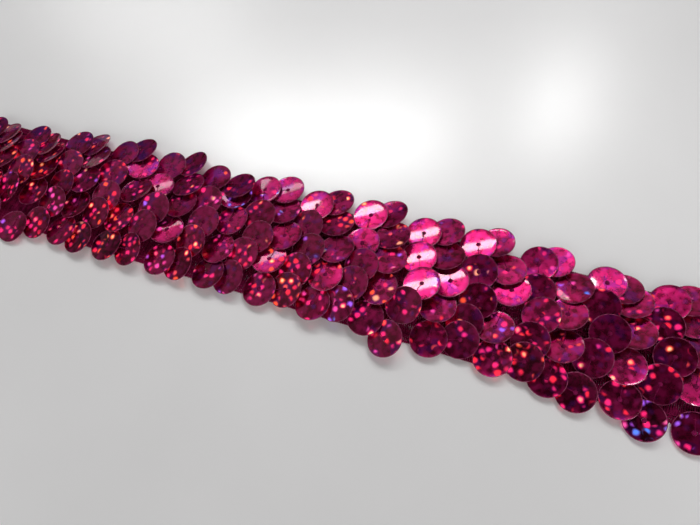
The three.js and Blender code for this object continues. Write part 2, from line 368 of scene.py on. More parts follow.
def place_on(one, away_x, away_y, lift):
    """A point of a sequin's film, by its place on the flat disc and its height over the underside."""
    normal = Vector((-one.slope_x, -one.slope_y, 1)).normalized()
    tilt = Vector((0, 0, 1)).rotation_difference(normal)
    return Vector((one.x, one.y, one.z)) + tilt @ Vector((away_x, away_y, lift))


strung = string_sequins()
set_slopes(strung)
settle(strung)
bend_film(strung)


def build_piece(name, places, faces, materials, shade=True):
    mesh = bpy.data.meshes.new(name)
    mesh.from_pydata([tuple(place) for place in places], [], faces)
    for material in materials:
        mesh.materials.append(material)
    if shade:
        mesh.shade_smooth()
    mesh.validate()
    piece = bpy.data.objects.new(name, mesh)
    bpy.context.scene.collection.objects.link(piece)
    return piece


# Node helpers, and where a colour Mix node has its factor, its two colours and its result

MIX_COLOUR_INPUTS = (0, 6, 7)
MIX_COLOUR_OUTPUT = 2


def new_material(name):
    material = bpy.data.materials.new(name)
    material.use_nodes = True
    tree = material.node_tree
    tree.nodes.clear()
    output = tree.nodes.new("ShaderNodeOutputMaterial")
    shader = tree.nodes.new("ShaderNodeBsdfPrincipled")
    tree.links.new(shader.outputs[0], output.inputs["Surface"])
    return material, tree, shader


def plug(tree, socket, value):
    """Links a socket to another node's output, or sets it to a value."""
    if isinstance(value, bpy.types.NodeSocket):
        tree.links.new(value, socket)
    else:
        socket.default_value = value


def feed_all(tree, made, values):
    for key, value in values.items():
        plug(tree, made.inputs[key], value)


def node(tree, kind, settings=None, **inputs):
    """Adds a node, sets its properties, and sets or links its inputs by name."""
    made = tree.nodes.new("ShaderNode" + kind)
    for key, value in (settings or {}).items():
        setattr(made, key, value)
    feed_all(tree, made, {key.replace("_", " "): value for key, value in inputs.items()})
    return made


def maths(tree, operation, *values):
    made = node(tree, "Math", {"operation": operation})
    for socket, value in zip(made.inputs, values):
        plug(tree, socket, value)
    return made.outputs[0]


def blend_colour(tree, share, first, second):
    made = node(tree, "Mix", {"data_type": "RGBA"})
    for index, value in zip(MIX_COLOUR_INPUTS, (share, first, second)):
        plug(tree, made.inputs[index], value)
    return made.outputs[MIX_COLOUR_OUTPUT]


def noise(tree, place, scale, detail, dimensions="3D"):
    settings = {"noise_dimensions": dimensions}
    return node(tree, "TexNoise", settings, Vector=place, Scale=scale, Detail=detail).outputs


def remap(tree, value, low, high, to_low=0.0, to_high=1.0, smooth=False):
    made = node(tree, "MapRange", {"interpolation_type": "SMOOTHSTEP" if smooth else "LINEAR"}, Value=value)
    for key, number in (("From Min", low), ("From Max", high), ("To Min", to_low), ("To Max", to_high)):
        made.inputs[key].default_value = number
    return made.outputs["Result"]


def ramp(tree, value, stops):
    made = node(tree, "ValToRGB", None, Fac=value)
    made.color_ramp.interpolation = "CONSTANT"
    elements = made.color_ramp.elements
    while len(elements) < len(stops):
        elements.new(1)
    for element, (position, colour) in zip(elements, stops):
        element.position = position
        element.color = colour
    return made.outputs["Color"]


def rgb(red, green, blue):
    return (red, green, blue, 1)


# Film: magenta foil under a clear skin, printed all over with round dots that each catch one colour; that
# colour is a painted glint, bright in the base colour and glowing by emission
DOT_PITCH_MM = 1.35
DOT_EDGE_SHARES = (0.52, 0.22)
DOT_SHAKE_MM = 0.3
DOT_SWELL_SHARE = 0.12
DOT_STRAY_SHARE = 0.35
CLUSTER_SHARE = 0.4
# How many dots show painted glints, and how bright they are
LIT_LEVEL = 0.52
LIT_RISE = 0.2
LIT_POWER = 0.6
HUE_SHARE = 0.6
GLINT_STRENGTH = 0.85
GLINT_CORE_POWER = 1.6
BLACK = rgb(0, 0, 0)
# Dark maroon that painted shade, and a darker random tone, blend the foil toward
SHADE_AND_TONE_MAROON = rgb(0.10, 0.001, 0.018)
MAROON = rgb(0.38, 0.002, 0.06)
FUCHSIA = rgb(0.74, 0.016, 0.19)
# Colour of the painted violet sheen
VIOLET_SHEEN = rgb(0.26, 0.02, 0.36)
# Dim dots of painted sparkle, pink or violet
DIM_GLINT_PINK = rgb(0.80, 0.04, 0.26)
DIM_GLINT_VIOLET = rgb(0.32, 0.05, 0.50)
SPARK = rgb(1.0, 0.52, 0.26)
FILM_GLARE = rgb(0.75, 0.20, 0.35)
GLINT_COLOURS = (
    (0.00, rgb(1.0, 0.34, 0.20)),
    (0.07, rgb(1.0, 0.08, 0.03)),
    (0.26, rgb(1.0, 0.02, 0.05)),
    (0.50, rgb(1.0, 0.02, 0.16)),
    (0.70, rgb(0.95, 0.06, 0.36)),
    (0.82, rgb(0.34, 0.10, 0.85)),
    (0.92, rgb(0.08, 0.22, 0.95)),
)

# Noise over the film: how fine, per millimetre, and how many octaves
SMUDGE_NOISE = (0.75, 4.0)
PATCH_NOISE = (0.4, 1.0)
SHAKE_NOISE = (1.1, 1.0)
DENT_NOISE = (0.45, 2.0)
DENT_BUMP = 0.8
DENT_HEIGHT = 0.03 * MM

# What remap() makes of a value: from low, from high, to low, to high
SHADE_BY_SMUDGE = (0.38, 0.62, 0.0, 0.75)
SHADE_BY_TONE = (0.0, 1.0, -0.2, 0.4)
BLOTCH_SHADE_BY_SMUDGE = (0.5, 0.34, 0.0, 0.5)
SHADE_AND_TONE_BY_SMUDGE = (0.4, 0.6, 1.25, 0.6)
SHEEN_BY_PATCH = (0.56, 0.68, 0.0, 0.45)
VIOLET_SHEEN_BY_PATCH = (0.35, 0.6, 0.0, 1.0)
CLUSTER_BY_PATCH = (0.3, 0.7, -CLUSTER_SHARE, CLUSTER_SHARE)
LIT_BY_LEVEL = (LIT_LEVEL, LIT_LEVEL + LIT_RISE, 0.0, 1.0)
FADE_BY_CHANCE = (0.4, 1.0, 0.0, 0.5)
SPARK_BY_DISTANCE = (0.3, 0.1, 0.0, 1.0)
SPARK_BY_CHANCE = (0.15, 0.05, 0.0, 1.0)
DIM_GLINT_BY_CHANCE = (0.0, 1.0, -0.1, 0.6)
DIM_GLINT_VIOLET_BY_CHANCE = (0.55, 0.9, 0.0, 1.0)
METAL_BY_LIT = (0.0, 1.0, 0.95, 0.15)
ROUGHNESS_BY_SMUDGE = (0.3, 0.7, 0.25, 0.32)


def film_place(tree):
    return node(tree, "UVMap", {"uv_map": "film_mm"}).outputs["UV"]


def film_dots(tree, place):
    """Round cells that stray and swell: their distance, their three chances, and the dot in each."""
    shake = noise(tree, place, *SHAKE_NOISE, "2D")["Color"]
    shaken = node(tree, "VectorMath", {"operation": "MULTIPLY_ADD"})
    for socket, value in zip(shaken.inputs, (shake, (DOT_SHAKE_MM,) * 3, place)):
        plug(tree, socket, value)
    cells = node(
        tree, "TexVoronoi", {"voronoi_dimensions": "2D"},
        Vector=shaken.outputs[0], Scale=1 / DOT_PITCH_MM, Randomness=DOT_STRAY_SHARE,
    )
    distance = cells.outputs["Distance"]
    chance = node(tree, "SeparateColor", None, Color=cells.outputs["Color"]).outputs
    swell = maths(tree, "MULTIPLY", chance["Blue"], DOT_SWELL_SHARE)
    dot = remap(tree, maths(tree, "ADD", distance, swell), *DOT_EDGE_SHARES)
    return distance, chance, dot


def film_material():
    material, tree, shader = new_material("sequin_film")
    place = film_place(tree)
    tone, painted_shade_and_tone, painted_violet_sheen, painted_glint_level, hue = (
        node(tree, "Attribute", {"attribute_name": name}).outputs["Fac"]
        for name in ("tone", "painted_shade_and_tone", "painted_violet_sheen", "painted_glint_level", "hue")
    )
    smudge = noise(tree, place, *SMUDGE_NOISE, "2D")["Fac"]
    patch = noise(tree, place, *PATCH_NOISE, "2D")["Fac"]
    distance, chance, dot = film_dots(tree, place)

    shade = remap(tree, smudge, *SHADE_BY_SMUDGE)
    shade = maths(tree, "ADD", shade, remap(tree, tone, *SHADE_BY_TONE))
    foil = blend_colour(tree, shade, MAROON, FUCHSIA)
    # Painted shade: dark blotches in random places, standing in for dark surroundings mirrored in the foil
    painted_blotch_shade = remap(tree, smudge, *BLOTCH_SHADE_BY_SMUDGE, smooth=True)
    # Painted shade: the foil darkens toward the front rows and on three listed sequins, as if mirroring a
    # dark room; a random darker tone rides on it
    shade_and_tone_share = maths(tree, "MULTIPLY", painted_shade_and_tone, remap(tree, smudge, *SHADE_AND_TONE_BY_SMUDGE))
    foil = blend_colour(tree, maths(tree, "MAXIMUM", shade_and_tone_share, painted_blotch_shade), foil, SHADE_AND_TONE_MAROON)
    # Painted sheen: violet patches in random places, stronger on sequins at the back left, which it also
    # darkens
    sheen = remap(tree, patch, *SHEEN_BY_PATCH, smooth=True)
    back_violet_sheen = maths(tree, "MULTIPLY", painted_violet_sheen, remap(tree, patch, *VIOLET_SHEEN_BY_PATCH))
    foil = blend_colour(tree, maths(tree, "ADD", sheen, back_violet_sheen), foil, VIOLET_SHEEN)

    # Painted glints: lit dots take a bright colour of their own, a few with a paler spark at the core, and
    # the metal fades where they are lit
    cluster = remap(tree, patch, *CLUSTER_BY_PATCH)
    level = maths(tree, "ADD", maths(tree, "MULTIPLY", chance["Red"], 1 - CLUSTER_SHARE), cluster)
    level = maths(tree, "ADD", level, painted_glint_level)
    lit = maths(tree, "POWER", remap(tree, level, *LIT_BY_LEVEL), LIT_POWER)
    lit = maths(tree, "MULTIPLY", lit, dot)
    own_hue = maths(tree, "MULTIPLY", hue, HUE_SHARE)
    hue_value = maths(tree, "ADD", own_hue, maths(tree, "MULTIPLY", chance["Green"], 1 - HUE_SHARE))
    glow = ramp(tree, hue_value, GLINT_COLOURS)
    glow = blend_colour(tree, remap(tree, chance["Blue"], *FADE_BY_CHANCE), glow, foil)
    spark = remap(tree, distance, *SPARK_BY_DISTANCE)
    spark = maths(tree, "MULTIPLY", spark, remap(tree, chance["Blue"], *SPARK_BY_CHANCE))
    glow = blend_colour(tree, spark, glow, SPARK)
    # Painted dim sparkle: some unlit dots are lighter pink or violet
    dim_glint = maths(tree, "MULTIPLY", dot, remap(tree, chance["Blue"], *DIM_GLINT_BY_CHANCE))
    dim_glint_violet_share = remap(tree, chance["Green"], *DIM_GLINT_VIOLET_BY_CHANCE)
    foil = blend_colour(tree, dim_glint, foil, blend_colour(tree, dim_glint_violet_share, DIM_GLINT_PINK, DIM_GLINT_VIOLET))

    # The core of a painted glint glows by emission
    glint_core = maths(tree, "POWER", lit, GLINT_CORE_POWER)
    dents = noise(tree, place, *DENT_NOISE, "2D")["Fac"]
    bump = node(tree, "Bump", None, Strength=DENT_BUMP, Distance=DENT_HEIGHT, Height=dents)
    feed_all(tree, shader, {
        "Base Color": blend_colour(tree, lit, foil, glow),
        "Emission Color": blend_colour(tree, glint_core, BLACK, glow),
        "Emission Strength": GLINT_STRENGTH,
        "Metallic": remap(tree, lit, *METAL_BY_LIT),
        "Roughness": remap(tree, smudge, *ROUGHNESS_BY_SMUDGE),
        "Specular Tint": FILM_GLARE,
        "Coat Weight": 1.0,
        "Coat Roughness": 0.045,
        "Coat IOR": 1.45,
        "Normal": bump.outputs["Normal"],
    })
    return material


# Cut edge of the film, where the clear skin gathers light
EDGE_NOISE = (1.6, 3.0)
EDGE_DYE = (0.35, 0.65)
EDGE_ROUGHNESS = (0.3, 0.7, 0.3, 0.42)
EDGE_DARK = rgb(0.14, 0.008, 0.04)
EDGE_LIGHT = rgb(0.42, 0.07, 0.18)


def edge_material():
    material, tree, shader = new_material("sequin_edge")
    grain = noise(tree, film_place(tree), *EDGE_NOISE, "2D")["Fac"]
    feed_all(tree, shader, {
        "Base Color": blend_colour(tree, remap(tree, grain, *EDGE_DYE), EDGE_DARK, EDGE_LIGHT),
        "Metallic": 0.4,
        "Roughness": remap(tree, grain, *EDGE_ROUGHNESS),
        "Coat Weight": 0.5,
        "Coat Roughness": 0.15,
    })
    return material


# Spun thread, with a little fluff and uneven dye: the darkest and the lightest dye of each, and its sheen
DYE_NOISE = (0.6 / MM, 3.0)
DYE_SPREAD = (0.3, 0.7)
FIBRE_NOISE = (9 / MM, 2.0)
FIBRE_ROUGHNESS = (0.3, 0.7, 0.8, 1.0)
FIBRE_BUMP = 0.6
FIBRE_HEIGHT = 0.02 * MM
YARNS = {
    "strand_yarn": (rgb(0.10, 0.004, 0.03), rgb(0.24, 0.010, 0.08), 0.15),
    "elastic_yarn": (rgb(0.10, 0.003, 0.025), rgb(0.22, 0.008, 0.06), 0.15),
    "tack_yarn": (rgb(0.45, 0.05, 0.19), rgb(0.62, 0.10, 0.30), 0.4),
}


def yarn_material(name):
    dark, light, sheen = YARNS[name]
    material, tree, shader = new_material(name)
    place = node(tree, "TexCoord").outputs["Object"]
    dye = noise(tree, place, *DYE_NOISE)["Fac"]
    fibre = noise(tree, place, *FIBRE_NOISE)["Fac"]
    bump = node(tree, "Bump", None, Strength=FIBRE_BUMP, Distance=FIBRE_HEIGHT, Height=fibre)
    feed_all(tree, shader, {
        "Base Color": blend_colour(tree, remap(tree, dye, *DYE_SPREAD), dark, light),
        "Roughness": remap(tree, fibre, *FIBRE_ROUGHNESS),
        "Specular IOR Level": 0.04,
        "Sheen Weight": sheen,
        "Sheen Roughness": 0.4,
        "Sheen Tint": light,
        "Normal": bump.outputs["Normal"],
    })
    return material


# Painted table top: off-white, a little uneven, half gloss
CLOUD_NOISE = (0.02 / MM, 4.0)
CLOUD_SPREAD = (0.3, 0.7)
GRAIN_NOISE = (1.5 / MM, 2.0)
GRAIN_ROUGHNESS = (0.3, 0.7, 0.46, 0.54)
TABLE_DARK = rgb(0.83, 0.82, 0.82)
TABLE_LIGHT = rgb(0.89, 0.88, 0.88)


def table_material():
    material, tree, shader = new_material("table_top")
    place = node(tree, "TexCoord").outputs["Object"]
    cloud = noise(tree, place, *CLOUD_NOISE)["Fac"]
    grain = noise(tree, place, *GRAIN_NOISE)["Fac"]
    feed_all(tree, shader, {
        "Base Color": blend_colour(tree, remap(tree, cloud, *CLOUD_SPREAD), TABLE_DARK, TABLE_LIGHT),
        "Roughness": remap(tree, grain, *GRAIN_ROUGHNESS),
        "Specular IOR Level": 1.0,
        "Coat Weight": 1.0,
        "Coat Roughness": 0.28,
        "Coat IOR": 2.7,
    })
    return material


film = film_material()
film_edge = edge_material()
strand_yarn = yarn_material("strand_yarn")
elastic_yarn = yarn_material("elastic_yarn")
tack_yarn = yarn_material("tack_yarn")


# Sequins of one pass, each a bent disc with a turned-up edge and a punched hole

# Every sequin takes its pattern from a place of its own, so far along and across from the last one's
PATTERN_STEP_U_MM = 9.7
PATTERN_STEP_V_MM = 5.3
PATTERN_ROWS = 11
SHARP_DEGREES = 40

# Painted glints by place: more dots are lit on sequins toward the front and the left, with a random share
# on each
BASE_GLINT_LEVEL = 0.03
FRONT_GLINT_LEVEL = 0.15
LEFT_GLINT_LEVEL = 0.05
STRAY_GLINT_LEVEL = 0.18
# Painted shade: sequins toward the front are darkened as if they mirrored a dark room; the stray part is
# random tone
FRONT_PAINTED_SHADE = 0.6
STRAY_DARK_TONE = 0.35
# Painted violet sheen on sequins toward the back left
BACK_VIOLET_SHEEN = 1.1
# Painted shade: three listed sequins are darkened against the lamps that they mirror
OWN_PAINTED_SHADES = {98: 0.5, 108: 0.5, 128: 0.7}


def film_profile():
    """Radius and height over the underside, from hole to rim on top and back underneath."""
    inner = PUNCH_RADIUS
    lip_start = SEQUIN_RADIUS - LIP_WIDTH
    radii = [inner + (lip_start - inner) * share for share in RING_SHARES]
    top = [(radius, FILM_THICKNESS) for radius in radii]
    rim_top = (SEQUIN_RADIUS, FILM_THICKNESS + LIP_HEIGHT)
    rim_foot = (SEQUIN_RADIUS, LIP_HEIGHT)
    under = [(radius, 0) for radius in reversed(radii)]
    return top + [rim_top, rim_foot] + under


def add_sequin(one, places, faces, edges, uvs):
    profile = film_profile()
    start = len(places)
    offset_u = PATTERN_STEP_U_MM * one.index
    offset_v = PATTERN_STEP_V_MM * (one.index % PATTERN_ROWS)
    for radius, lift in profile:
        for step in range(SEQUIN_SEGMENTS):
            angle = one.spin + 2 * math.pi * step / SEQUIN_SEGMENTS
            away_x, away_y = radius * math.cos(angle), radius * math.sin(angle)
            bend = float(bend_at(one, away_x, away_y))
            places.append(place_on(one, away_x, away_y, lift + bend))
            turned = angle - one.spin
            radius_mm = radius / MM
            uvs.append((offset_u + radius_mm * math.cos(turned), offset_v + radius_mm * math.sin(turned)))
    rings = len(profile)
    lip_ring = len(RING_SHARES) - 1
    for ring in range(rings):
        inside = start + ring * SEQUIN_SEGMENTS
        outside = start + (ring + 1) % rings * SEQUIN_SEGMENTS
        for step in range(SEQUIN_SEGMENTS):
            turn = (step + 1) % SEQUIN_SEGMENTS
            faces.append((inside + step, outside + step, outside + turn, inside + turn))
            edges.append(lip_ring <= ring <= lip_ring + 1 or ring == rings - 1)


def sequin_looks(one):
    """What sets one sequin's film apart: its tone, painted shade, painted violet sheen, how many dots show
    painted glints, and their colour.
    """
    toward_front = -one.y / LAY_HALF_WIDTH
    toward_left = -one.x / cad_high.x
    in_front = min(max(toward_front, 0), 1)
    painted_shade_and_tone = FRONT_PAINTED_SHADE * in_front ** 2 + STRAY_DARK_TONE * scatter(one.index, DARK_TONE_KIND)
    painted_glint_level = BASE_GLINT_LEVEL + FRONT_GLINT_LEVEL * toward_front + LEFT_GLINT_LEVEL * toward_left
    return {
        "tone": (scatter(one.index, TONE_KIND) + 1) / 2,
        "painted_shade_and_tone": OWN_PAINTED_SHADES.get(one.index, painted_shade_and_tone),
        "painted_violet_sheen": BACK_VIOLET_SHEEN * max(-toward_front, 0) * max(toward_left, 0),
        "painted_glint_level": painted_glint_level + STRAY_GLINT_LEVEL * scatter(one.index, GLINT_LEVEL_KIND),
        "hue": (scatter(one.index, HUE_KIND) + 1) / 2,
    }


def sequin_piece(number):
    places, faces, edges, uvs = [], [], [], []
    looks = {}
    for one in (one for one in strung if one.number == number):
        before = len(places)
        add_sequin(one, places, faces, edges, uvs)
        for key, value in sequin_looks(one).items():
            looks.setdefault(key, []).extend([value] * (len(places) - before))
    piece = build_piece(f"sequins_of_pass_{number + 1:02d}", places, faces, (film, film_edge))
    mesh = piece.data
    layer = mesh.uv_layers.new(name="film_mm")
    for loop in mesh.loops:
        layer.data[loop.index].uv = uvs[loop.vertex_index]
    for key, values in looks.items():
        mesh.attributes.new(key, "FLOAT", "POINT").data.foreach_set("value", values)
    mesh.polygons.foreach_set("material_index", [int(edge) for edge in edges])
    mesh.set_sharp_from_angle(angle=math.radians(SHARP_DEGREES))
    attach(piece, "root")
    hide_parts(f"sequin_pass_{number + 1:02d}")


for number in range(PASS_COUNT):
    sequin_piece(number)


# Round yarn along a route

YARN_SIDES = 6
YARN_STEPS = 3
UPRIGHT_RATIO = 0.1


def smooth_route(points, steps):
    """A Catmull-Rom curve through the points, with a number of steps to each."""
    ends = [2 * points[0] - points[1], *points, 2 * points[-1] - points[-2]]
    route = []
    for index in range(1, len(ends) - 2):
        a, b, c, d = (np.array(ends[index + offset]) for offset in (-1, 0, 1, 2))
        slope, curve, twist = c - a, 2 * a - 5 * b + 4 * c - d, 3 * b - a - 3 * c + d
        for step in range(steps):
            t = step / steps
            route.append(b + slope * t / 2 + curve * t * t / 2 + twist * t ** 3 / 2)
    route.append(np.array(points[-1]))
    return route


def add_tube(route, radius, sides, places, faces):
    """Adds a closed round tube along a route, its section carried along without twist."""
    start = len(places)
    route = np.array(route)
    headings = np.gradient(route, axis=0)
    headings /= np.linalg.norm(headings, axis=1)[:, None]
    aside = np.cross(headings[0], (0, 0, 1))
    if np.linalg.norm(aside) < UPRIGHT_RATIO:
        aside = np.cross(headings[0], (0, 1, 0))
    for index, (point, heading) in enumerate(zip(route, headings)):
        aside = aside - heading * np.dot(aside, heading)
        aside /= np.linalg.norm(aside)
        over = np.cross(heading, aside)
        for side in range(sides):
            angle = 2 * math.pi * side / sides
            places.append(point + radius * (math.cos(angle) * aside + math.sin(angle) * over))
    for ring in range(len(route) - 1):
        for side in range(sides):
            turn = (side + 1) % sides
            a, b = start + ring * sides, start + (ring + 1) * sides
            faces.append((a + side, a + turn, b + turn, b + side))
    last = start + (len(route) - 1) * sides
    faces.append(tuple(start + side for side in reversed(range(sides))))
    faces.append(tuple(last + side for side in range(sides)))


# Thread that strings the sequins: two plies in and out of every hole, and what fills the hole
STRAND_WIDTH = 0.12 * MM
STRAND_STEPS = 4
FILLER_SHARES = (0.1, 0.45, 0.8)
FILLER_RADIUS_SHARE = 0.96
FILLER_SIDES = 12
PLY_TURN_LENGTH = 0.9 * MM
PLY_TURN_STEPS = 8


def link_points(upper, lower):
    """Where the thread leaves the hole of one sequin and where it goes into the next one's."""
    run = math.hypot(lower.x - upper.x, lower.y - upper.y)
    out_x, out_y = point_between(upper, lower, OUT_SHARE * HOLE_RADIUS)
    into_x, into_y = point_between(upper, lower, run - INTO_SHARE * HOLE_RADIUS)
    out_z = height_at(upper, out_x, out_y) - STRAND_WIDTH / 2
    into_z = height_at(lower, into_x, into_y) + FILM_THICKNESS + STRAND_WIDTH / 2
    return Vector((out_x, out_y, out_z)), Vector((into_x, into_y, into_z))


def beyond(one, neighbour):
    """A stand-in for the sequin past a cut end of the strand."""
    stand_in = SimpleNamespace(**vars(one))
    stand_in.x = 2 * one.x - neighbour.x
    stand_in.y = 2 * one.y - neighbour.y
    return stand_in


def strand_route():
    """The whole thread, in and out of every hole."""
    route = []
    chain = [beyond(strung[0], strung[1]), *strung, beyond(strung[-1], strung[-2])]
    for upper, lower in zip(chain, chain[1:]):
        out, into = link_points(upper, lower)
        hole = place_on(lower, 0, 0, FILM_THICKNESS / 2)
        route += [out, into, hole]
    return route[2:-2]


def add_plies(route, width, places, faces):
    """Two plies laid round each other along a route."""
    route = np.array(route)
    lengths = np.linalg.norm(np.diff(route, axis=0), axis=1)
    travelled = np.concatenate([[0], np.cumsum(lengths)])
    count = int(travelled[-1] / (PLY_TURN_LENGTH / PLY_TURN_STEPS)) + 1
    even = np.linspace(0, travelled[-1], count)
    route = np.stack([np.interp(even, travelled, route[:, axis]) for axis in range(3)], axis=1)
    headings = np.gradient(route, axis=0)
    headings /= np.linalg.norm(headings, axis=1)[:, None]
    aside = np.cross(headings, (0, 0, 1))
    aside /= np.linalg.norm(aside, axis=1)[:, None]
    over = np.cross(headings, aside)
    angles = 2 * math.pi * even / PLY_TURN_LENGTH
    for ply in (0, 1):
        phase = angles + math.pi * ply
        shift = width / 4 * (np.cos(phase)[:, None] * aside + np.sin(phase)[:, None] * over)
        add_tube(route + shift, width / 4, YARN_SIDES, places, faces)


def strand_piece():
    places, faces = [], []
    add_plies(smooth_route(strand_route(), STRAND_STEPS), STRAND_WIDTH, places, faces)
    for one in strung:
        filler = [place_on(one, 0, 0, share * FILM_THICKNESS) for share in FILLER_SHARES]
        add_tube(filler, FILLER_RADIUS_SHARE * PUNCH_RADIUS, FILLER_SIDES, places, faces)
    piece = build_piece("strand_thread", places, faces, (strand_yarn,))
    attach(piece, "root")


strand_piece()


# Elastic wales: a chain of loops with the thread held in ties

CHAIN_PITCH = 1.25 * MM
YARN_WIDTH = 0.22 * MM
FACE_SHARE = 0.6
wale_half_length = (cad_high.x - cad_low.x) / 2

# One stitch: shares of the pitch along the wale, of its half width aside, and of the way from face to back
STITCH_SHARES = (
    (0.05, 0, 0.5),
    (0.4, 1, 0),
    (0.95, 1, 0),
    (1.25, 0, 0),
    (0.95, -1, 0),
    (0.4, -1, 0),
    (0.0, 0, 0.5),
    (0.35, 0, 1),
    (0.8, 0, 1),
)

# A tie over the thread: shares of its half length, and of the way up to the thread
TIE_HALF_LENGTH = 0.32 * MM
TIE_SHARES = ((-1, 0), (-0.8, 0.7), (0, 1), (0.8, 0.7), (1, 0))


def chain_route(y):
    """One yarn worked into a chain: each loop comes out of the one before it, its face to the table."""
    count = int(2 * wale_half_length / CHAIN_PITCH) - 1
    start = -count * CHAIN_PITCH / 2
    leg = (WALE_WIDTH - YARN_WIDTH) / 2
    face = YARN_WIDTH * FACE_SHARE
    back = WALE_HEIGHT - YARN_WIDTH / 2
    route = []
    for number in range(count):
        for along_share, aside_share, up_share in STITCH_SHARES:
            x = start + (number + along_share) * CHAIN_PITCH
            route.append(Vector((x, y + aside_share * leg, face + (back - face) * up_share)))
    return route


def tie_points(y):
    """Where the strand's thread crosses over a wale."""
    route = strand_route()
    found = []
    for first, second in zip(route, route[1:]):
        if (first.y - y) * (second.y - y) < 0:
            found.append(first.lerp(second, (y - first.y) / (second.y - first.y)))
    return found


def wale_piece(number):
    y = (number - (WALE_COUNT - 1) / 2) * WALE_SPACING
    places, faces = [], []
    add_tube(smooth_route(chain_route(y), YARN_STEPS), YARN_WIDTH / 2, YARN_SIDES, places, faces)
    foot = WALE_HEIGHT - YARN_WIDTH / 2
    for tie in tie_points(y):
        arch = [
            Vector((tie.x + along_share * TIE_HALF_LENGTH, y, foot + (tie.z - foot) * up_share))
            for along_share, up_share in TIE_SHARES
        ]
        add_tube(smooth_route(arch, YARN_STEPS), YARN_WIDTH / 2, YARN_SIDES, places, faces)
    piece = build_piece(f"elastic_chain_{number + 1}", places, faces, (elastic_yarn,))
    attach(piece, "root")
    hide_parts(f"elastic_wale_{number + 1}")


for number in range(WALE_COUNT):
    wale_piece(number)


# Weft: four yarns laid to and fro between each wale and the next, each over the one before it. A knitted
# backing, laid dense in the dark elastic yarn, partly as painted shade: the gaps between sequins show dark
# yarn, not the table

WEFT_WIDTH = 0.22 * MM
WEFT_YARNS = 4
WEFT_TURN = 0.1 * MM
WEFT_EDGE_TURN = 1.15 * MM


def weft_route(near_y, far_y, start, height):
    """One yarn, caught by a chain stitch on either side in turn, that turns low past an outer wale."""
    legs = int((wale_half_length - start) / (CHAIN_PITCH / 2)) - 1
    route = []
    for leg in range(legs):
        x = start + leg * CHAIN_PITCH / 2
        y, inward = (far_y, -WEFT_TURN) if leg % 2 else (near_y, WEFT_TURN)
        low = abs(y) > WALE_REACH + WALE_WIDTH / 2
        z = WEFT_WIDTH / 2 if low else height
        for along, across in ((-WEFT_TURN, inward), (0, 0), (WEFT_TURN, inward)):
            route.append(Vector((x + along, y + across, z)))
    return route


def weft_piece():
    places, faces = [], []
    for gap in range(WALE_COUNT - 1):
        near_y = (gap - (WALE_COUNT - 1) / 2) * WALE_SPACING
        far_y = near_y + WALE_SPACING
        if gap == 0:
            near_y -= WEFT_EDGE_TURN
        if gap == WALE_COUNT - 2:
            far_y += WEFT_EDGE_TURN
        for yarn in range(WEFT_YARNS):
            height = WEFT_WIDTH / 2 + (WALE_HEIGHT - WEFT_WIDTH) * yarn / (WEFT_YARNS - 1)
            start = CHAIN_PITCH * (1 + yarn / WEFT_YARNS) - wale_half_length
            add_tube(weft_route(near_y, far_y, start, height), WEFT_WIDTH / 2, YARN_SIDES, places, faces)
    piece = build_piece("weft_yarns", places, faces, (elastic_yarn,))
    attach(piece, "root")


weft_piece()


# Tacks: thread wound close over the wales

TACK_THREAD = 0.26 * MM
TACK_STEP = 0.3 * MM
TACK_LAP = 0.06 * MM

# One turn: shares of the half width along the trim, of the lap, of the step to the next, and of the way up
TACK_TURN_SHARES = (
    (-1, 1, 0, 0),
    (-0.5, 0, 0.1, 1),
    (0.5, 0, 0.2, 1),
    (1, 1, 0.3, 0),
    (0, 0, 0.65, 0),
)


def tack_piece(name):
    low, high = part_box(name)
    middle_x = (low.x + high.x) / 2
    half = (high.x - low.x - TACK_THREAD) / 2
    foot = low.z + TACK_THREAD / 2
    rise = high.z - low.z - TACK_THREAD
    points = []
    for turn in range(int((high.y - low.y - TACK_THREAD) / TACK_STEP)):
        y = low.y + TACK_THREAD / 2 + turn * TACK_STEP
        lap = TACK_LAP * scatter(turn, LAP_KIND)
        for half_share, lap_share, step_share, up_share in TACK_TURN_SHARES:
            x = middle_x + half_share * half + lap_share * lap
            points.append(Vector((x, y + step_share * TACK_STEP, foot + up_share * rise)))
    places, faces = [], []
    add_tube(smooth_route(points, YARN_STEPS), TACK_THREAD / 2, YARN_SIDES, places, faces)
    piece = build_piece(name.replace("end_tack", "tack_stitches"), places, faces, (tack_yarn,))
    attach(piece, "root")
    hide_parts(name)


for name in ("end_tack_left", "end_tack_right"):
    tack_piece(name)


# Table

TABLE_SIZE = 1200 * MM


def table_piece():
    half = TABLE_SIZE / 2
    corners = [(-half, -half, 0), (half, -half, 0), (half, half, 0), (-half, half, 0)]
    piece = build_piece("table_top", corners, [(0, 1, 2, 3)], (table_material(),), shade=False)


table_piece()


# Lights: two strip lamps and a round one behind the trim, two wide soft lamps, and a fill lamp that
# no glossy surface mirrors. A strip lamp has its two ends and its radiance, and each other one its
# place, width, height and radiance.

STRIP_WIDTH = 42 * MM
STRIP_LAMPS = (
    ("near_strip_lamp", Vector((-488, 460, 768)) * MM, Vector((-77, 622, 802)) * MM, 18),
    ("far_strip_lamp", Vector((-751, 534, 605)) * MM, Vector((-473, 646, 625)) * MM, 6),
)
ROUND_LAMP = ("round_lamp", Vector((81, 690, 759)) * MM, 46 * MM, 46 * MM, 52)
SOFT_LAMPS = (
    ("right_soft_lamp", Vector((900, 330, 520)) * MM, 800 * MM, 800 * MM, 0.9),
    ("front_soft_lamp", Vector((-250, -950, 480)) * MM, 1500 * MM, 700 * MM, 0.9),
)
FILL_LAMP = ("fill_lamp", Vector((200, 600, 850)) * MM, 500 * MM, 500 * MM, 5)


